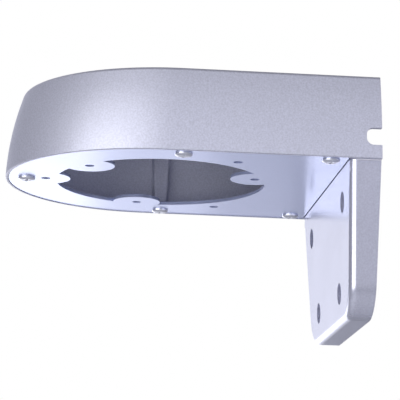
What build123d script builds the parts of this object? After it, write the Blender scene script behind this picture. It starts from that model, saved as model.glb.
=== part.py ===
from build123d import *
import os
from math import cos, radians, sin

os.makedirs("parts", exist_ok=True)

# Wall bracket for a dome camera, in millimetres. +Z is up, the wall is the plane Y = 0 and the
# bracket reaches out along -Y. The origin is the centre of the four wall holes, on the wall.

# Driving dimensions
WIDTH = 140.0  # hood, across its straight sides
REACH = 167.0  # from the wall to the tip of the hood
HOOD_HEIGHT = 39.5
HOOD_BASE = 35.0  # underside of the hood above the origin
LEG_DROP = 68.8  # leg below the hood
WALL = 2.6  # hood wall
ROOF = 2.8
SKIN = 3.0  # front wall, side walls and web of the leg

# Hood form: its sides and its nose lean in and bulge a little on the way up
HALF_WIDTH = WIDTH / 2
NOSE_Y = -(REACH - HALF_WIDTH)  # centre of the half-round front
NOSE_DRAW_BACK = 7.0  # of that centre at the top, where the front is half an ellipse
SIDE_INSET = 5.7
SIDE_BULGE = 1.15
TIP_INSET = 7.4
TIP_BULGE = 1.55
TOP_ROUND = 2.0
RIM_ROUND = 0.5
CAVITY_ROUND = 3.0

# Adapter plate, which lies in a rebate inside the hood's rim
LIP = 1.2
SEAM = 0.3
PLATE_THICKNESS = 1.5
PLATE_RECESS = 0.3
PLATE_BOTTOM = HOOD_BASE + PLATE_RECESS
PLATE_TOP = PLATE_BOTTOM + PLATE_THICKNESS
PLATE_CORNER = 2.0
OPENING_Y = -93.6
OPENING_RADIUS = 49.6
TAB_RADIUS = 11.6
CAMERA_HOLE_RADIUS = 2.15
PATTERN_A_RADIUS = 46.0
PATTERN_A_TURN = -50.0
PATTERN_B_Y = -91.0
PATTERN_B_RADIUS = 57.0
PATTERN_B_TURN = -90.0

# M4 pan-head screws
SCREW_RADIUS = 2.0
SCREW_LENGTH = 12.0
SCREW_HOLE_RADIUS = 2.15  # clearance hole in sheet and web
BORE_RADIUS = 2.06  # running clearance in the castings' bosses
BORE_DEPTH = 14.0
HEAD_RADIUS = 4.0
LOW_HEAD_HEIGHT = 1.5
PAN_HEAD_HEIGHT = 2.6
HEAD_FLAT = 1.8  # radius of the flat in the middle of the domed head
HEAD_DOME = 3.2  # radius of the dome's arc
HEAD_RIM = 0.3  # share of the head's height below the dome
SCREW_TIP = 0.5  # chamfer at the end of the shank
CROSS_LENGTH = 4.2
CROSS_WIDTH = 0.9
CROSS_DEPTH = 0.65  # share of the head's height

# Plate screws: one at the nose, a pair half-way and a pair beside the leg
SIDE_SCREW_X = 62.0
PLATE_SCREWS = {
    "plate_screw_front": (0.0, -157.0),
    "plate_screw_right_mid": (SIDE_SCREW_X, -88.5),
    "plate_screw_left_mid": (-SIDE_SCREW_X, -88.5),
    "plate_screw_right_rear": (SIDE_SCREW_X, -22.0),
    "plate_screw_left_rear": (-SIDE_SCREW_X, -22.0),
}

# Leg: a shallow box, open at the back, that narrows and thins downwards
LEG_TOP = HOOD_BASE - 0.15
LEG_BOTTOM = HOOD_BASE - LEG_DROP
LEG_TOP_HALF_WIDTH = 67.6
LEG_BOTTOM_HALF_WIDTH = 53.8
LEG_CORNER = 18.0
LEG_TOP_DEPTH = 14.2
LEG_BOTTOM_DEPTH = 11.75
LEG_EDGE_ROUND = 3.4
RIB = 2.4

# Wall holes: a wide pair above a narrower pair
WALL_HOLES = [(44.0, 20.0), (-44.0, 20.0), (29.0, -20.0), (-29.0, -20.0)]
WALL_HOLE_RADIUS = 2.75
COUNTERBORE_RADIUS = 5.0
COUNTERBORE_DEPTH = 3.5
WALL_BOSS_RADIUS = 7.5
CENTRE_PAD_RADIUS = 6.0

# Web: the leg's front wall carried up inside the hood, with the cable window
WEB_FRONT = -14.0
WEB_BACK = WEB_FRONT + SKIN
WEB_TOP = HOOD_BASE + 33.0
WEB_ROOT = LEG_TOP - 5.0  # where it starts, inside the leg's front wall
WEB_PLAY = 0.2  # between the web and the end of the plate's rebate
WEB_BASE_HALF_WIDTH = 65.0
WEB_TOP_HALF_WIDTH = 61.0
WEB_CORNER = 6.0
WINDOW_Z = HOOD_BASE + 18.0
WINDOW_RADIUS = 12.0
GUSSET_X = 36.0
GUSSET_DEPTH = 3.8
GUSSET_STEP = 2.0  # from the gussets' top to the web's
LEG_SCREW_X = 48.0
LEG_SCREWS = {
    "leg_screw_upper_right": (LEG_SCREW_X, HOOD_BASE + 27.0),
    "leg_screw_upper_left": (-LEG_SCREW_X, HOOD_BASE + 27.0),
    "leg_screw_lower_right": (LEG_SCREW_X, HOOD_BASE + 9.0),
    "leg_screw_lower_left": (-LEG_SCREW_X, HOOD_BASE + 9.0),
}
WASHER_THICKNESS = 1.0
WASHER_RADIUS = 3.8
WASHER_HOLE_RADIUS = 2.2
WASHER_GAP = 0.8

# Grommet in the cable window
GROMMET_BORE = 9.5
GROMMET_FLANGE = 14.5
GROMMET_LIP = 1.5
GROMMET_ROUND = 1.0

# Earth screw on the web, and its star washer
EARTH_X = 30.0
EARTH_Z = HOOD_BASE + 12.0
EARTH_SCREW_LENGTH = 6.0
EARTH_BOSS_RADIUS = 4.5
STAR_WASHER_RADIUS = 4.6
STAR_WASHER_THICKNESS = 0.6
STAR_TEETH = 10
STAR_SLOT_DEPTH = 1.0
STAR_SLOT_WIDTH = 1.2

# Bosses and ribs inside the hood
COLUMN_FOOT = 6.8  # side of the column's square section at the plate
COLUMN_HEAD = 9.8  # and at the roof
COLUMN_CORNER = 1.2
COLUMN_RIB_REACH = 8.0
LEG_BOSS_RADIUS = 5.0
LEG_BOSS_LENGTH = 12.0
LEG_BORE_DEPTH = 10.0
GUSSET_FOOT_Z = HOOD_BASE + 4.0
GUSSET_FOOT_Y = -26.0
GUSSET_HEAD_Y = -42.0
ROOF_RIB_X = 24.0
ROOF_RIB_SPREAD = 30.0  # of the two cross ribs, each side of the opening's centre
ROOF_RIB_DEPTH = 3.0
ROOF_RIB_WIDTH = 2.0

# Side cable notches in the hood's rear edge
NOTCH_DEPTH = 7.0
NOTCH_HEIGHT = 8.0
NOTCH_Z = HOOD_BASE + 10.3
NOTCH_CORNER = 3.2

CUT_OVERRUN = 20.0  # how far a cutting tool runs past the surface it starts from


def along_y(x, z, y):
    """Place a shape built up +Z so that it grows along +Y from the point given."""
    return Location((x, y, z), (-90, 0, 0))


def hood_section(inset, height):
    """Level section of the hood, drawn in by the inset: straight sides, rounded front."""
    rise = height / HOOD_HEIGHT
    bulge = 4 * rise * (1 - rise)  # nothing at top and bottom, full half-way
    half_width = HALF_WIDTH - inset - SIDE_INSET * rise + SIDE_BULGE * bulge
    tip_y = inset - REACH + TIP_INSET * rise - TIP_BULGE * bulge
    nose_y = NOSE_Y + NOSE_DRAW_BACK * rise
    section = Pos(0, nose_y) * Ellipse(half_width, nose_y - tip_y)
    section = section + Pos(0, nose_y / 2) * Rectangle(2 * half_width, -nose_y)
    return Pos(0, 0, HOOD_BASE + height) * section


def hood_form(inset, height, top_round):
    """Closed form of the hood, drawn in by the inset and cut off level at the height."""
    form = loft([hood_section(inset, height * step / 2) for step in range(3)])
    top = form.faces().sort_by(Axis.Z)[-1]
    return fillet(top.edges().sort_by(Axis.Y)[:-1], top_round)


def d_prism(half_width, rear_y, bottom, top, corner=0.0):
    """Flat D-shaped prism, concentric with the hood."""
    straight = -NOSE_Y + rear_y
    outline = Pos(0, NOSE_Y) * Circle(half_width)
    sides = Pos(0, NOSE_Y + straight / 2) * Rectangle(2 * half_width, straight)
    outline = outline + sides
    if corner:
        outline = fillet(outline.vertices().group_by(Axis.Y)[-1], corner)
    return Pos(0, 0, bottom) * extrude(outline, amount=top - bottom)


def plate_screw_bosses():
    """Tapered square columns for the plate screws, each tied to the wall beside it by a rib."""
    height = HOOD_HEIGHT - (PLATE_TOP - HOOD_BASE)
    foot = RectangleRounded(COLUMN_FOOT, COLUMN_FOOT, COLUMN_CORNER)
    head = RectangleRounded(COLUMN_HEAD, COLUMN_HEAD, COLUMN_CORNER)
    column = loft([foot, Pos(0, 0, height) * head])
    rib = Box(COLUMN_RIB_REACH, RIB, height, align=(Align.MIN, Align.CENTER, Align.MIN))
    bosses = []
    for x, y in PLATE_SCREWS.values():
        outward = -90 if x == 0 else (0 if x > 0 else 180)
        bosses.append(Pos(x, y, PLATE_TOP) * column)
        bosses.append(Pos(x, y, PLATE_TOP) * Rot(0, 0, outward) * rib)
    return bosses


def leg_screw_bosses():
    """Two gussets under the roof, each with two bosses that take the leg's screws."""
    corners = [
        (WEB_FRONT, GUSSET_FOOT_Z),
        (WEB_FRONT, HOOD_BASE + HOOD_HEIGHT),
        (GUSSET_HEAD_Y, HOOD_BASE + HOOD_HEIGHT),
        (GUSSET_FOOT_Y, GUSSET_FOOT_Z),
    ]
    side = make_face(Polyline(*corners, close=True))
    sheet = extrude(Plane.YZ * side, amount=SKIN / 2, both=True)
    bosses = [Pos(x, 0, 0) * sheet for x in (LEG_SCREW_X, -LEG_SCREW_X)]
    stand = (Align.CENTER, Align.CENTER, Align.MIN)
    boss = Cylinder(LEG_BOSS_RADIUS, LEG_BOSS_LENGTH, align=stand)
    for x, z in LEG_SCREWS.values():
        bosses.append(along_y(x, z, WEB_FRONT - LEG_BOSS_LENGTH) * boss)
    return bosses


def roof_ribs():
    """Shallow ribs under the roof: two along the hood and two across it."""
    z = HOOD_BASE + HOOD_HEIGHT - ROOF - ROOF_RIB_DEPTH / 2
    rear_y = WEB_FRONT - ROOF_RIB_WIDTH
    long_rib = Box(ROOF_RIB_WIDTH, REACH + rear_y, ROOF_RIB_DEPTH)
    cross_rib = Box(WIDTH, ROOF_RIB_WIDTH, ROOF_RIB_DEPTH)
    ribs = [Pos(x, (rear_y - REACH) / 2, z) * long_rib for x in (ROOF_RIB_X, -ROOF_RIB_X)]
    for shift in (ROOF_RIB_SPREAD, -ROOF_RIB_SPREAD):
        ribs.append(Pos(0, OPENING_Y + shift, z) * cross_rib)
    return ribs


def hood_casting():
    outer = hood_form(0.0, HOOD_HEIGHT, TOP_ROUND)
    rim = outer.faces().sort_by(Axis.Z)[0]
    outer = fillet(rim.edges().sort_by(Axis.Y)[:-1], RIM_ROUND)
    core = hood_form(WALL / 2, HOOD_HEIGHT - ROOF / 2, TOP_ROUND)
    hood = outer - hood_form(WALL, HOOD_HEIGHT - ROOF, CAVITY_ROUND)
    for feature in plate_screw_bosses() + leg_screw_bosses() + roof_ribs():
        hood = hood + (feature & core)
    hood = hood - d_prism(HALF_WIDTH - LIP, WEB_FRONT - WEB_PLAY, HOOD_BASE - 1, PLATE_TOP)
    for x, y in PLATE_SCREWS.values():
        bore = Cylinder(BORE_RADIUS, BORE_DEPTH, align=(Align.CENTER, Align.CENTER, Align.MIN))
        hood = hood - Pos(x, y, PLATE_TOP) * bore
    for x, z in LEG_SCREWS.values():
        bore = Cylinder(BORE_RADIUS, LEG_BORE_DEPTH, align=(Align.CENTER, Align.CENTER, Align.MIN))
        hood = hood - along_y(x, z, WEB_FRONT - LEG_BORE_DEPTH) * bore
    notch = RectangleRounded(2 * NOTCH_DEPTH, NOTCH_HEIGHT, NOTCH_CORNER)
    hood = hood - Pos(0, 0, NOTCH_Z) * extrude(Plane.YZ * notch, amount=WIDTH, both=True)
    return hood


def hole_circle(radius, turn, centre_y):
    """Three points evenly spaced on a circle, the first at the angle given from +X."""
    angles = [radians(turn + 120 * step) for step in range(3)]
    return [(radius * cos(a), centre_y + radius * sin(a)) for a in angles]


def adapter_plate():
    pattern_a = hole_circle(PATTERN_A_RADIUS, PATTERN_A_TURN, OPENING_Y)
    pattern_b = hole_circle(PATTERN_B_RADIUS, PATTERN_B_TURN, PATTERN_B_Y)
    plate_half_width = HALF_WIDTH - LIP - SEAM
    rear_y = -LEG_TOP_DEPTH - SEAM
    plate = d_prism(plate_half_width, rear_y, PLATE_BOTTOM, PLATE_TOP, PLATE_CORNER)
    opening = Pos(0, OPENING_Y) * Circle(OPENING_RADIUS)
    for x, y in pattern_a + pattern_b[:1]:
        opening = opening - Pos(x, y) * Circle(TAB_RADIUS)
    holes = opening
    for x, y in pattern_a + pattern_b:
        holes = holes + Pos(x, y) * Circle(CAMERA_HOLE_RADIUS)
    for x, y in PLATE_SCREWS.values():
        holes = holes + Pos(x, y) * Circle(SCREW_HOLE_RADIUS)
    cut = extrude(holes, amount=CUT_OVERRUN, both=True)
    return plate - Pos(0, 0, PLATE_BOTTOM) * cut


def leg_half_width(z):
    slope = (LEG_TOP_HALF_WIDTH - LEG_BOTTOM_HALF_WIDTH) / LEG_DROP
    return LEG_TOP_HALF_WIDTH - slope * (HOOD_BASE - z)


def leg_block(inset, depth_loss, top):
    """The leg's outline, drawn in by the inset, as a block whose front face leans back."""
    bottom = LEG_BOTTOM + inset
    top_x = leg_half_width(top) - inset
    bottom_x = leg_half_width(bottom) - inset
    corners = [(top_x, top), (-top_x, top), (-bottom_x, bottom), (bottom_x, bottom)]
    outline = make_face(Polyline(*corners, close=True))
    outline = fillet(outline.vertices().group_by(Axis.Y)[0], LEG_CORNER - inset)
    block = extrude(Plane.XZ * outline, amount=CUT_OVERRUN)
    lean = (LEG_TOP_DEPTH - LEG_BOTTOM_DEPTH) / LEG_DROP
    front = Plane(
        origin=(0, depth_loss - LEG_TOP_DEPTH, HOOD_BASE),
        x_dir=(1, 0, 0),
        z_dir=(0, -1, -lean),
    )
    return split(block, bisect_by=front, keep=Keep.BOTTOM)


def leg_depth(z):
    return LEG_TOP_DEPTH - (LEG_TOP_DEPTH - LEG_BOTTOM_DEPTH) * (HOOD_BASE - z) / LEG_DROP


def web_sheet():
    """The upright web inside the hood, with two gussets and the earth boss on its back."""
    corners = [
        (WEB_BASE_HALF_WIDTH, WEB_ROOT),
        (WEB_TOP_HALF_WIDTH, WEB_TOP),
        (-WEB_TOP_HALF_WIDTH, WEB_TOP),
        (-WEB_BASE_HALF_WIDTH, WEB_ROOT),
    ]
    outline = make_face(Polyline(*corners, close=True))
    outline = fillet(outline.vertices().group_by(Axis.Y)[-1], WEB_CORNER)
    web = Pos(0, WEB_BACK, 0) * extrude(Plane.XZ * outline, amount=SKIN)
    gusset_height = WEB_TOP - WEB_ROOT - GUSSET_STEP
    for x in (GUSSET_X, -GUSSET_X):
        gusset = Box(RIB, GUSSET_DEPTH, gusset_height, align=(Align.CENTER, Align.MIN, Align.MIN))
        web = web + Pos(x, WEB_BACK, WEB_ROOT) * gusset
    boss = Cylinder(EARTH_BOSS_RADIUS, GUSSET_DEPTH, align=(Align.CENTER, Align.CENTER, Align.MIN))
    return web + along_y(EARTH_X, EARTH_Z, WEB_BACK) * boss


def wall_leg():
    block = leg_block(0.0, 0.0, LEG_TOP)
    front_face = block.faces().sort_by(Axis.Y)[0]
    rounded = front_face.edges().sort_by(Axis.Z)[:-1]
    block = fillet(rounded, LEG_EDGE_ROUND)
    leg = block - leg_block(SKIN, SKIN, LEG_TOP + 1)
    reach = 2 * LEG_TOP_DEPTH
    side_rib = Box(WIDTH / 4, reach, RIB)
    wall_boss = Rot(90, 0, 0) * Cylinder(WALL_BOSS_RADIUS, reach)
    stiffeners = [Box(WIDTH, reach, RIB), Box(RIB, reach, 2 * HOOD_BASE)]
    stiffeners.append(Rot(90, 0, 0) * Cylinder(CENTRE_PAD_RADIUS, reach))
    for x, z in WALL_HOLES:
        outward = 1 if x > 0 else -1
        stiffeners.append(Pos(x, 0, z) * wall_boss)
        stiffeners.append(Pos(x + outward * WIDTH / 8, 0, z) * side_rib)
    for stiffener in stiffeners:
        leg = leg + (stiffener & block)
    leg = leg + web_sheet()
    for x, z in WALL_HOLES:
        hole = Rot(90, 0, 0) * Cylinder(WALL_HOLE_RADIUS, 2 * CUT_OVERRUN)
        leg = leg - Pos(x, 0, z) * hole
        seat = Cylinder(COUNTERBORE_RADIUS, CUT_OVERRUN, align=(Align.CENTER, Align.CENTER, Align.MIN))
        seat_y = COUNTERBORE_DEPTH - leg_depth(z)
        leg = leg - along_y(x, z, seat_y - CUT_OVERRUN) * seat
    window = Rot(90, 0, 0) * Cylinder(WINDOW_RADIUS, 2 * CUT_OVERRUN)
    leg = leg - Pos(0, 0, WINDOW_Z) * window
    for x, z in LEG_SCREWS.values():
        leg = leg - Pos(x, 0, z) * Rot(90, 0, 0) * Cylinder(SCREW_HOLE_RADIUS, 2 * CUT_OVERRUN)
    return leg - Pos(EARTH_X, 0, EARTH_Z) * Rot(90, 0, 0) * Cylinder(BORE_RADIUS, 2 * CUT_OVERRUN)


def pan_screw(head_height, length):
    """Pan-head screw with a cross recess, head downwards, its shank up +Z from the origin."""
    rim_height = head_height * HEAD_RIM
    rim = Line((HEAD_RADIUS, 0), (HEAD_RADIUS, -rim_height))
    dome = RadiusArc((HEAD_RADIUS, -rim_height), (HEAD_FLAT, -head_height), HEAD_DOME)
    back = Polyline(
        (HEAD_FLAT, -head_height),
        (0, -head_height),
        (0, length),
        (SCREW_RADIUS - SCREW_TIP, length),
        (SCREW_RADIUS, length - SCREW_TIP),
        (SCREW_RADIUS, 0),
        (HEAD_RADIUS, 0),
    )
    screw = revolve(Plane.XZ * make_face(rim + dome + back), Axis.Z)
    recess_depth = head_height * CROSS_DEPTH
    for turn in (0, 90):
        blade = Box(CROSS_LENGTH, CROSS_WIDTH, recess_depth)
        screw = screw - Pos(0, 0, -head_height + recess_depth / 2) * Rot(0, 0, turn) * blade
    return screw


def spring_washer():
    """Split spring washer, its lower face on the plane Z = 0."""
    ring = Circle(WASHER_RADIUS) - Circle(WASHER_HOLE_RADIUS)
    gap = Pos(WASHER_RADIUS, 0) * Rectangle(2 * WASHER_RADIUS, WASHER_GAP)
    return extrude(ring - gap, amount=WASHER_THICKNESS)


def star_washer():
    """Earth washer with teeth round its edge."""
    ring = Circle(STAR_WASHER_RADIUS) - Circle(WASHER_HOLE_RADIUS)
    for step in range(STAR_TEETH):
        slot = Pos(STAR_WASHER_RADIUS, 0) * Rectangle(2 * STAR_SLOT_DEPTH, STAR_SLOT_WIDTH)
        ring = ring - Rot(0, 0, 360 * step / STAR_TEETH) * slot
    return extrude(ring, amount=STAR_WASHER_THICKNESS)


def cable_grommet():
    """Rubber ring whose groove grips the edge of the cable window."""
    span = SKIN + 2 * GROMMET_LIP
    section = Polyline(
        (GROMMET_BORE, 0),
        (GROMMET_FLANGE, 0),
        (GROMMET_FLANGE, GROMMET_LIP),
        (WINDOW_RADIUS, GROMMET_LIP),
        (WINDOW_RADIUS, GROMMET_LIP + SKIN),
        (GROMMET_FLANGE, GROMMET_LIP + SKIN),
        (GROMMET_FLANGE, span),
        (GROMMET_BORE, span),
        close=True,
    )
    face = make_face(section)
    outer_corners = face.vertices().sort_by(Axis.X)[-4:]
    outer_corners = [outer_corners.sort_by(Axis.Y)[0], outer_corners.sort_by(Axis.Y)[-1]]
    face = fillet(outer_corners, GROMMET_ROUND)
    ring = revolve(Plane.XZ * face, Axis.Z)
    return along_y(0, WINDOW_Z, WEB_FRONT - GROMMET_LIP) * ring


def build_parts():
    parts = {
        "hood_casting": hood_casting(),
        "wall_leg": wall_leg(),
        "adapter_plate": adapter_plate(),
        "cable_grommet": cable_grommet(),
    }
    for name, (x, y) in PLATE_SCREWS.items():
        parts[name] = Pos(x, y, PLATE_BOTTOM) * pan_screw(LOW_HEAD_HEIGHT, SCREW_LENGTH)
    for name, (x, z) in LEG_SCREWS.items():
        washer_name = name.replace("screw", "screw_washer")
        parts[washer_name] = along_y(x, z, WEB_BACK) * spring_washer()
        head_seat = WEB_BACK + WASHER_THICKNESS
        screw = Rot(180, 0, 0) * pan_screw(PAN_HEAD_HEIGHT, SCREW_LENGTH)
        parts[name] = along_y(x, z, head_seat) * screw
    washer_y = WEB_FRONT - STAR_WASHER_THICKNESS
    parts["earth_washer"] = along_y(EARTH_X, EARTH_Z, washer_y) * star_washer()
    earth_screw = pan_screw(PAN_HEAD_HEIGHT, EARTH_SCREW_LENGTH)
    parts["earth_screw"] = along_y(EARTH_X, EARTH_Z, washer_y) * earth_screw
    return parts


for node, shape in build_parts().items():
    export_step(shape, f"parts/{node}.step")
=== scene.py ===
import math

import bpy
from mathutils import Matrix, Vector


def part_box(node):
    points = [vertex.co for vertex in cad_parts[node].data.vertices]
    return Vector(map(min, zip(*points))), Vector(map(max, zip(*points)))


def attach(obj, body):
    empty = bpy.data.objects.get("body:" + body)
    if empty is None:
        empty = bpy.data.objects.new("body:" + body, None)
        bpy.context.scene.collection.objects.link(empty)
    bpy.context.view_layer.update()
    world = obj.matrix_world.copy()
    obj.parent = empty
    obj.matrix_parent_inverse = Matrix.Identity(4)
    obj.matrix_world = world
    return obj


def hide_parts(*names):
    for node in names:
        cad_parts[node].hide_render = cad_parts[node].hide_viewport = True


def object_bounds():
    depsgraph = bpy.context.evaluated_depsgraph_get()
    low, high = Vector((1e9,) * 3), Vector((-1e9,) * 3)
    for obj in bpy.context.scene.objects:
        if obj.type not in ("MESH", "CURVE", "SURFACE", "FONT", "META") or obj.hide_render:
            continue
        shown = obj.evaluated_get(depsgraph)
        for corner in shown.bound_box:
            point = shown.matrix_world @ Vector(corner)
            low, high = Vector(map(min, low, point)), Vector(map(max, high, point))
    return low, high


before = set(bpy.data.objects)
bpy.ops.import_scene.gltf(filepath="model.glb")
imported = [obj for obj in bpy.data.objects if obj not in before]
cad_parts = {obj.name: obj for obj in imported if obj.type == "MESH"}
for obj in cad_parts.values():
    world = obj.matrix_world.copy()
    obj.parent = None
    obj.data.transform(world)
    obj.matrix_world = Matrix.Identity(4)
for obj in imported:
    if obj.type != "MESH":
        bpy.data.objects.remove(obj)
cad_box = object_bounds()

MM = 0.001
low, high = (Vector(corner) for corner in cad_box)
centre = (low + high) / 2

# Camera, at the angle of the photograph. Azimuth turns from the front (-Y) towards +X.
CAMERA_AZIMUTH = 84.2
CAMERA_ELEVATION = -12.2
CAMERA_ROLL = 1.17
CAMERA_DISTANCE = 0.968
CAMERA_LENS = 183.1
AIM_BELOW_TOP = 46.7 * MM
AIM_OFF_WALL = 74.5 * MM

FLOOR_DROP = 1.25  # floor below the object's centre
FLOOR_SIZE = 20.0
FLOOR_COLOUR = (0.92, 0.93, 0.96)
FLOOR_ROUGHNESS = 0.7
FLOOR_GLOW = 0.5  # seen by the camera only, so the floor stays pale without lighting the part

# Light from all round: sine of the elevation (0 is the horizon, 1 straight up) and colour.
# Below the first height its colour goes on, and above the last.
SKY = ((0.05, (0.58, 0.59, 0.70)), (0.62, (0.68, 0.68, 0.73)), (0.80, (0.03, 0.03, 0.04)))

# A darker part of the room, in front and to the left
DIM_AZIMUTH = -15
DIM_ELEVATION = 18
DIM_SHARE = 0.85
DIM_COLOUR = (0.10, 0.10, 0.13)
DIM_BORDER = 0.45  # cosine of the angle from its middle where it starts
DIM_CORE = 0.9  # and where it is at its darkest

WHITE = (1.0, 1.0, 1.0)
COOL_WHITE = (0.93, 0.94, 1.0)
FAR_LOW_SIZE = (0.9, 0.4)
FAR_LOW_ELEVATION = -12
BRIGHTEST_DIRECT = 3.0  # clamps on one sample's light, against stray bright dots
BRIGHTEST_INDIRECT = 2.0

# Finishes
NOISE_LOW = 0.3  # most of a noise's values lie between these two
NOISE_HIGH = 0.7
CLOUD_SIZE = 25.0 * MM  # slow variation of colour and roughness
CLOUD_SHARE = 0.2
CLOUD_ROUGHNESS = 0.05  # share by which the roughness varies
CHIP_SIZE = 1.5 * MM  # broken pattern of the wear along edges
CHIP_DETAIL = 4.0
CHIP_FAINTEST = 0.2  # wear left between the chips
CHIP_FROM = 0.4  # noise value where a chip starts
CHIP_TO = 0.65  # and where it is full
EDGE_WIDTH = 0.35 * MM  # how far the wear reaches from an edge
EDGE_BENT = 0.75  # cosine between the rounded and true normals on a full edge
EDGE_FLAT = 0.99  # and on a flat
EDGE_SAMPLES = 4
BUMP_STRENGTH = 0.35
WORN_PAINT = (0.8, 0.8, 0.82)
WORN_STEEL = (0.8, 0.8, 0.8)

# Rounded edges of the CAD nodes
CASTING_EDGE = 0.25 * MM
PLATE_EDGE = 0.2 * MM
WASHER_EDGE = 0.1 * MM
ROUNDED_FROM = math.radians(35)  # edges that bend more than this are rounded
SHARP_FROM = math.radians(40)  # edges of a screw that bend more than this stay sharp

# M4 screws
HEAD_RADIUS = 4.0 * MM
HEAD_FLAT = 1.6 * MM  # radius of the flat in the middle of the head
HEAD_RIM = 0.3  # share of the head's height that the dome never reaches
HEAD_STEPS = 30
DOME_ROUNDNESS = 0.96  # at 1 it meets the rim upright; below 1 it stops short, above it
LOW_HEAD_HEIGHT = 1.5 * MM
PAN_HEAD_HEIGHT = 2.6 * MM
SHANK_RADIUS = 2.0 * MM
THREAD_ROOT = 1.62 * MM
THREAD_PITCH = 0.7 * MM
THREAD_STEEPNESS = 1.25  # over 1 leaves a small flat on each crest and root
SCREW_LENGTH = 12.0 * MM
EARTH_SCREW_LENGTH = 6.0 * MM
CROSS_HALF_LENGTH = 2.2 * MM
CROSS_HALF_WIDTH = 0.55 * MM
RECESS_SHARE = 0.65  # of the head's height
RECESS_SLOPE = 0.3 * MM
SEGMENTS = 72
STEPS_PER_PITCH = 5

UP = Vector((0, 0, 1))
TO_FRONT = Vector((0, -1, 0))
TO_WALL = Vector((0, 1, 0))


# ---------------------------------------------------------------- node helpers


def new_material(name):
    """Material with only a shader in it."""
    material = bpy.data.materials.new(name)
    material.use_nodes = True
    tree = material.node_tree
    tree.nodes.clear()
    shader = tree.nodes.new("ShaderNodeBsdfPrincipled")
    output = tree.nodes.new("ShaderNodeOutputMaterial")
    tree.links.new(shader.outputs["BSDF"], output.inputs["Surface"])
    return material, tree, shader


def noise(tree, grain, detail=2.0):
    """Noise in the object's own space, with its grain in metres."""
    place = tree.nodes.new("ShaderNodeTexCoord")
    texture = tree.nodes.new("ShaderNodeTexNoise")
    texture.inputs["Scale"].default_value = 1 / grain
    texture.inputs["Detail"].default_value = detail
    tree.links.new(place.outputs["Object"], texture.inputs["Vector"])
    return texture.outputs["Fac"]


def spread(tree, factor, lowest, highest, start=0.0, end=1.0):
    """Stretch the part of a factor between start and end over a range of values."""
    stretch = tree.nodes.new("ShaderNodeMapRange")
    stretch.inputs["From Min"].default_value = start
    stretch.inputs["From Max"].default_value = end
    stretch.inputs["To Min"].default_value = lowest
    stretch.inputs["To Max"].default_value = highest
    tree.links.new(factor, stretch.inputs["Value"])
    return stretch.outputs["Result"]


def blend_colours(tree, factor, first, second):
    """Mix two colours; the first may be a colour or another node's output."""
    mix = tree.nodes.new("ShaderNodeMix")
    mix.data_type = "RGBA"
    tree.links.new(factor, mix.inputs["Factor"])
    if isinstance(first, tuple):
        mix.inputs["A"].default_value = (*first, 1.0)
    else:
        tree.links.new(first, mix.inputs["A"])
    mix.inputs["B"].default_value = (*second, 1.0)
    return mix.outputs["Result"]


def multiply(tree, first, second):
    """Product of two nodes' outputs."""
    product = tree.nodes.new("ShaderNodeMath")
    product.operation = "MULTIPLY"
    tree.links.new(first, product.inputs[0])
    tree.links.new(second, product.inputs[1])
    return product.outputs["Value"]


def edge_mask(tree, width):
    """Where the surface bends within the width: 0 on flats, 1 on sharp edges."""
    bevel = tree.nodes.new("ShaderNodeBevel")
    bevel.samples = EDGE_SAMPLES
    bevel.inputs["Radius"].default_value = width
    geometry = tree.nodes.new("ShaderNodeNewGeometry")
    dot = tree.nodes.new("ShaderNodeVectorMath")
    dot.operation = "DOT_PRODUCT"
    tree.links.new(bevel.outputs["Normal"], dot.inputs[0])
    tree.links.new(geometry.outputs["Normal"], dot.inputs[1])
    return spread(tree, dot.outputs["Value"], 1.0, 0.0, EDGE_BENT, EDGE_FLAT)


def bump(tree, shader, height, depth):
    """Raise and sink the surface by a height, over a depth in metres."""
    node = tree.nodes.new("ShaderNodeBump")
    node.inputs["Strength"].default_value = BUMP_STRENGTH
    node.inputs["Distance"].default_value = depth
    tree.links.new(height, node.inputs["Height"])
    tree.links.new(node.outputs["Normal"], shader.inputs["Normal"])


def contrast(tree, factor, lowest=0.0, highest=1.0):
    """Stretch noise over a range of values: its own values crowd round the middle."""
    return spread(tree, factor, lowest, highest, NOISE_LOW, NOISE_HIGH)


def surface(name, colour, wear_colour, roughness, metallic, grain, mottle, bump_depth, wear):
    """Finish with a fine grain, slow mottling, and edges worn towards another colour."""
    material, tree, shader = new_material(name)
    fine = noise(tree, grain)
    slow = noise(tree, CLOUD_SIZE)
    darker = tuple(channel * (1 - mottle) for channel in colour)
    lighter = tuple(channel * (1 + mottle) for channel in colour)
    speckle = blend_colours(tree, contrast(tree, fine), darker, lighter)
    clouds = blend_colours(tree, contrast(tree, slow, 0, CLOUD_SHARE), speckle, darker)
    broken = noise(tree, CHIP_SIZE, CHIP_DETAIL)
    chips = spread(tree, broken, CHIP_FAINTEST, 1, CHIP_FROM, CHIP_TO)
    worn = multiply(tree, edge_mask(tree, EDGE_WIDTH), chips)
    faded = spread(tree, worn, 0, wear)
    tree.links.new(blend_colours(tree, faded, clouds, wear_colour), shader.inputs["Base Color"])
    smoothest = roughness * (1 - CLOUD_ROUGHNESS)
    roughest = roughness * (1 + CLOUD_ROUGHNESS)
    tree.links.new(contrast(tree, slow, smoothest, roughest), shader.inputs["Roughness"])
    shader.inputs["Metallic"].default_value = metallic
    bump(tree, shader, fine, bump_depth)
    return material


def dress(node, material):
    """Give a CAD node a better material."""
    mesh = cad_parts[node].data
    mesh.materials.clear()
    mesh.materials.append(material)


def soften_edges(node, width):
    """Round the sharp edges of a CAD node with a modifier; its mesh stays as it is."""
    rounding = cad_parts[node].modifiers.new("soft_edges", "BEVEL")
    rounding.width = width
    rounding.segments = 2
    rounding.limit_method = "ANGLE"
    rounding.angle_limit = ROUNDED_FROM
    rounding.harden_normals = True


# ---------------------------------------------------------------- screws


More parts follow.
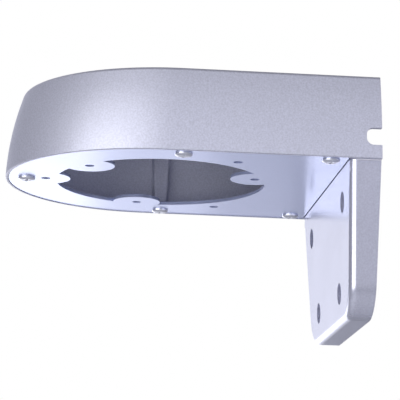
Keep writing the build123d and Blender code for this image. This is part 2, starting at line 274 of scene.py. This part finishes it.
def thread_height(phase):
    """Thread's profile, 0 at the root and 1 at the crest, with a small flat on each."""
    height = 1 - abs(2 * (phase % 1) - 1)
    return min(max(THREAD_STEEPNESS * height - (THREAD_STEEPNESS - 1) / 2, 0), 1)


def recess_depth(x, y, head_height):
    """Depth of the cross recess at a point of the head."""
    first_arm = max(abs(x) - CROSS_HALF_LENGTH, abs(y) - CROSS_HALF_WIDTH)
    second_arm = max(abs(y) - CROSS_HALF_LENGTH, abs(x) - CROSS_HALF_WIDTH)
    inside = -min(first_arm, second_arm)
    return RECESS_SHARE * head_height * min(max(inside / RECESS_SLOPE, 0), 1)


def ring_angles():
    """Angles of the points round a ring."""
    return [2 * math.pi * turn / SEGMENTS for turn in range(SEGMENTS)]


def head_rings(head_height):
    """Rings over the domed head, from the middle out: each a list of (x, y, z)."""
    rings = []
    dome_height = head_height * (1 - HEAD_RIM)
    for step in range(1, HEAD_STEPS + 1):
        radius = HEAD_RADIUS * math.sin(math.pi / 2 * step / HEAD_STEPS)
        slope = max(radius - HEAD_FLAT, 0) / (HEAD_RADIUS - HEAD_FLAT)
        fall = dome_height * (1 - math.sqrt(1 - DOME_ROUNDNESS * slope * slope))
        ring = []
        for angle in ring_angles():
            x, y = radius * math.cos(angle), radius * math.sin(angle)
            ring.append((x, y, fall + recess_depth(x, y, head_height) - head_height))
        rings.append(ring)
    return rings


def shank_rings(length):
    """Rings up the threaded shank, which fades out at both ends."""
    rings = []
    steps = round(length / THREAD_PITCH * STEPS_PER_PITCH)
    for step in range(steps + 1):
        z = length * step / steps
        fade = min(z / THREAD_PITCH, (length - z) / THREAD_PITCH, 1)
        ring = []
        for turn, angle in enumerate(ring_angles()):
            height = thread_height(z / THREAD_PITCH - turn / SEGMENTS)
            radius = THREAD_ROOT + (SHANK_RADIUS - THREAD_ROOT) * height * fade
            ring.append((radius * math.cos(angle), radius * math.sin(angle), z))
        rings.append(ring)
    return rings


def skin(name, rings, first_point, last_point):
    """Closed mesh over rings of points, drawn together in a point at each end."""
    vertices = [first_point] + [point for ring in rings for point in ring] + [last_point]
    faces = []
    for number in range(len(rings) - 1):
        start = 1 + number * SEGMENTS
        for turn in range(SEGMENTS):
            after = (turn + 1) % SEGMENTS
            here, there = start + turn, start + after
            faces.append((here, here + SEGMENTS, there + SEGMENTS, there))
    end = len(vertices) - 1
    for turn in range(SEGMENTS):
        after = (turn + 1) % SEGMENTS
        faces.append((0, 1 + turn, 1 + after))
        faces.append((end, end - SEGMENTS + after, end - SEGMENTS + turn))
    mesh = bpy.data.meshes.new(name)
    mesh.from_pydata(vertices, [], faces)
    mesh.polygons.foreach_set("use_smooth", [True] * len(faces))
    mesh.update()
    mesh.set_sharp_from_angle(angle=SHARP_FROM)
    return mesh


def screw_mesh(name, head_height, length, material):
    """Pan-head screw: head towards -Z, threaded shank up +Z from the seat at the origin."""
    head = head_rings(head_height)
    seat = [(x, y, 0) for x, y, z in head[-1]]
    rings = head + [seat] + shank_rings(length)
    middle = (0, 0, recess_depth(0, 0, head_height) - head_height)
    mesh = skin(name, rings, middle, (0, 0, length))
    mesh.materials.append(material)
    return mesh


def add_screw(node, mesh, length, shank_way, body):
    """Put a screw in the CAD one's place; its shank points along shank_way."""
    low_corner, high_corner = (Vector(corner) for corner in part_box(node))
    middle = (low_corner + high_corner) / 2
    half_size = (high_corner - low_corner) / 2
    tip = middle + Vector(side * way for side, way in zip(half_size, shank_way))
    screw = bpy.data.objects.new(node + "_threaded", mesh)
    turn = shank_way.to_track_quat("Z", "Y").to_matrix().to_4x4()
    screw.matrix_world = Matrix.Translation(tip - shank_way * length) @ turn
    bpy.context.scene.collection.objects.link(screw)
    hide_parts(node)
    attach(screw, body)


# ---------------------------------------------------------------- camera, floor and light


def direction(azimuth, elevation):
    """Unit vector; azimuth turns from the front (-Y) towards +X, both in degrees."""
    a, e = math.radians(azimuth), math.radians(elevation)
    return Vector((math.sin(a) * math.cos(e), -math.cos(a) * math.cos(e), math.sin(e)))


def add_camera():
    """Camera at the angle of the photograph, turned slightly about its own axis."""
    back = direction(CAMERA_AZIMUTH, CAMERA_ELEVATION)
    right = (-back).cross(UP).normalized()
    up = right.cross(-back)
    roll = math.radians(CAMERA_ROLL)
    rolled_right = right * math.cos(roll) + up * math.sin(roll)
    rolled_up = up * math.cos(roll) - right * math.sin(roll)
    turn = Matrix((rolled_right, rolled_up, back)).transposed().to_4x4()
    aim = Vector((0, high.y - AIM_OFF_WALL, high.z - AIM_BELOW_TOP))
    data = bpy.data.cameras.new("camera")
    data.lens = CAMERA_LENS
    camera = bpy.data.objects.new("camera", data)
    camera.matrix_world = Matrix.Translation(aim + back * CAMERA_DISTANCE) @ turn
    bpy.context.scene.collection.objects.link(camera)
    bpy.context.scene.camera = camera


def add_floor():
    """Plain pale floor, far enough below to look up at the object from."""
    half = FLOOR_SIZE / 2
    z = centre.z - FLOOR_DROP
    mesh = bpy.data.meshes.new("floor")
    corners = [(-half, -half, z), (half, -half, z), (half, half, z), (-half, half, z)]
    mesh.from_pydata(corners, [], [(0, 1, 2, 3)])
    floor = bpy.data.objects.new("floor", mesh)
    material, tree, shader = new_material("floor_paint")
    shader.inputs["Base Color"].default_value = (*FLOOR_COLOUR, 1.0)
    shader.inputs["Roughness"].default_value = FLOOR_ROUGHNESS
    shader.inputs["Emission Color"].default_value = (*WHITE, 1.0)
    path = tree.nodes.new("ShaderNodeLightPath")
    glow = spread(tree, path.outputs["Is Camera Ray"], 0, FLOOR_GLOW)
    tree.links.new(glow, shader.inputs["Emission Strength"])
    mesh.materials.append(material)
    bpy.context.scene.collection.objects.link(floor)


def add_softbox(name, azimuth, elevation, distance, size, power, colour=WHITE):
    """Large plain light that faces the object, and isn't seen itself."""
    away = direction(azimuth, elevation)
    data = bpy.data.lights.new(name, "AREA")
    data.shape = "RECTANGLE"
    data.size, data.size_y = size
    data.energy = power
    data.color = colour
    light = bpy.data.objects.new(name, data)
    light.location = centre + away * distance
    light.rotation_euler = away.to_track_quat("Z", "Y").to_euler()
    light.visible_camera = False
    bpy.context.scene.collection.objects.link(light)


def add_world():
    """White where the camera looks; lavender light from all round, but dark overhead."""
    world = bpy.data.worlds.new("studio")
    bpy.context.scene.world = world
    world.use_nodes = True
    tree = world.node_tree
    tree.nodes.clear()
    place = tree.nodes.new("ShaderNodeTexCoord")
    split = tree.nodes.new("ShaderNodeSeparateXYZ")
    tree.links.new(place.outputs["Generated"], split.inputs["Vector"])
    ramp = tree.nodes.new("ShaderNodeValToRGB")
    ramp.color_ramp.elements.new(0.5)
    for stop, (height, colour) in zip(ramp.color_ramp.elements, SKY):
        stop.position = height
        stop.color = (*colour, 1.0)
    tree.links.new(split.outputs["Z"], ramp.inputs["Fac"])
    dot = tree.nodes.new("ShaderNodeVectorMath")
    dot.operation = "DOT_PRODUCT"
    dot.inputs[1].default_value = direction(DIM_AZIMUTH, DIM_ELEVATION)
    tree.links.new(place.outputs["Generated"], dot.inputs[0])
    dim = spread(tree, dot.outputs["Value"], 0, DIM_SHARE, DIM_BORDER, DIM_CORE)
    sky = blend_colours(tree, dim, ramp.outputs["Color"], DIM_COLOUR)
    light = tree.nodes.new("ShaderNodeBackground")
    tree.links.new(sky, light.inputs["Color"])
    seen = tree.nodes.new("ShaderNodeBackground")
    seen.inputs["Color"].default_value = (*WHITE, 1.0)
    path = tree.nodes.new("ShaderNodeLightPath")
    mix = tree.nodes.new("ShaderNodeMixShader")
    output = tree.nodes.new("ShaderNodeOutputWorld")
    tree.links.new(path.outputs["Is Camera Ray"], mix.inputs["Fac"])
    tree.links.new(light.outputs["Background"], mix.inputs[1])
    tree.links.new(seen.outputs["Background"], mix.inputs[2])
    tree.links.new(mix.outputs["Shader"], output.inputs["Surface"])


# ---------------------------------------------------------------- finishes

hood_paint = surface(
    "hood_paint",
    colour=(0.64, 0.65, 0.75),
    wear_colour=WORN_PAINT,
    roughness=0.46,
    metallic=0.6,
    grain=0.8 * MM,
    mottle=0.10,
    bump_depth=0.05 * MM,
    wear=0.3,
)
leg_paint = surface(
    "leg_paint",
    colour=(0.66, 0.67, 0.78),
    wear_colour=WORN_PAINT,
    roughness=0.24,
    metallic=0.72,
    grain=0.8 * MM,
    mottle=0.09,
    bump_depth=0.03 * MM,
    wear=0.3,
)
plate_paint = surface(
    "plate_paint",
    colour=(0.60, 0.66, 0.92),
    wear_colour=WORN_PAINT,
    roughness=0.22,
    metallic=0.6,
    grain=0.7 * MM,
    mottle=0.03,
    bump_depth=0.01 * MM,
    wear=0.3,
)
steel = surface(
    "screw_steel",
    colour=(0.80, 0.81, 0.88),
    wear_colour=(0.9, 0.9, 0.92),
    roughness=0.3,
    metallic=0.95,
    grain=0.4 * MM,
    mottle=0.05,
    bump_depth=0.01 * MM,
    wear=0.2,
)
rubber = surface(
    "rubber",
    colour=(0.02, 0.02, 0.022),
    wear_colour=(0.06, 0.06, 0.06),
    roughness=0.7,
    metallic=0.0,
    grain=0.5 * MM,
    mottle=0.1,
    bump_depth=0.03 * MM,
    wear=0.2,
)
brass = surface(
    "earth_brass",
    colour=(0.62, 0.45, 0.18),
    wear_colour=(0.8, 0.6, 0.3),
    roughness=0.25,
    metallic=1.0,
    grain=0.4 * MM,
    mottle=0.05,
    bump_depth=0.01 * MM,
    wear=0.2,
)
zinc = surface(
    "zinc_steel",
    colour=(0.56, 0.57, 0.58),
    wear_colour=WORN_STEEL,
    roughness=0.3,
    metallic=1.0,
    grain=0.5 * MM,
    mottle=0.08,
    bump_depth=0.01 * MM,
    wear=0.2,
)

CAD_FINISHES = {
    "hood_casting": hood_paint,
    "wall_leg": leg_paint,
    "adapter_plate": plate_paint,
    "cable_grommet": rubber,
}

# ---------------------------------------------------------------- the object

low_head_screw = screw_mesh("low_head_screw", LOW_HEAD_HEIGHT, SCREW_LENGTH, steel)
pan_head_screw = screw_mesh("pan_head_screw", PAN_HEAD_HEIGHT, SCREW_LENGTH, zinc)
earth_screw = screw_mesh("short_pan_head_screw", PAN_HEAD_HEIGHT, EARTH_SCREW_LENGTH, brass)

for node in list(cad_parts):
    if node in CAD_FINISHES:
        dress(node, CAD_FINISHES[node])
    elif node.startswith("plate_screw"):
        add_screw(node, low_head_screw, SCREW_LENGTH, UP, node)
    elif node == "earth_screw":
        add_screw(node, earth_screw, EARTH_SCREW_LENGTH, TO_WALL, "bracket")
    elif "washer" in node:
        dress(node, zinc)
        soften_edges(node, WASHER_EDGE)
    else:  # the leg's four screws
        add_screw(node, pan_head_screw, SCREW_LENGTH, TO_FRONT, "bracket")
soften_edges("hood_casting", CASTING_EDGE)
soften_edges("wall_leg", CASTING_EDGE)
soften_edges("adapter_plate", PLATE_EDGE)

# ---------------------------------------------------------------- the studio

add_camera()
add_floor()
add_world()

# The highlight on the hood's nose, and the bright band down the leg's edge
add_softbox("key", azimuth=50, elevation=1, distance=1.5, size=(1.5, 1.7), power=18.0)

# The side of the leg
add_softbox("near_low", azimuth=100, elevation=-16, distance=1.4, size=(1.2, 0.6), power=0.42)

# Reflected in the plate. Each reaches further back than the one before, so that the plate gets
# darker by steps from its nose to the leg.
for name, azimuth, distance, power, colour in (
    ("far_low", -68, 1.1, 1.0, WHITE),
    ("far_low_mid", -73, 1.05, 0.5, COOL_WHITE),
    ("far_low_wide", -78, 1.05, 0.42, COOL_WHITE),
):
    add_softbox(name, azimuth, FAR_LOW_ELEVATION, distance, FAR_LOW_SIZE, power, colour)

# The front of the leg
add_softbox(
    "far_high",
    azimuth=-86,
    elevation=14,
    distance=1.3,
    size=(0.9, 0.7),
    power=1.0,
    colour=COOL_WHITE,
)

bpy.context.scene.view_settings.view_transform = "Standard"
bpy.context.scene.cycles.use_denoising = True
bpy.context.scene.cycles.sample_clamp_direct = BRIGHTEST_DIRECT
bpy.context.scene.cycles.sample_clamp_indirect = BRIGHTEST_INDIRECT
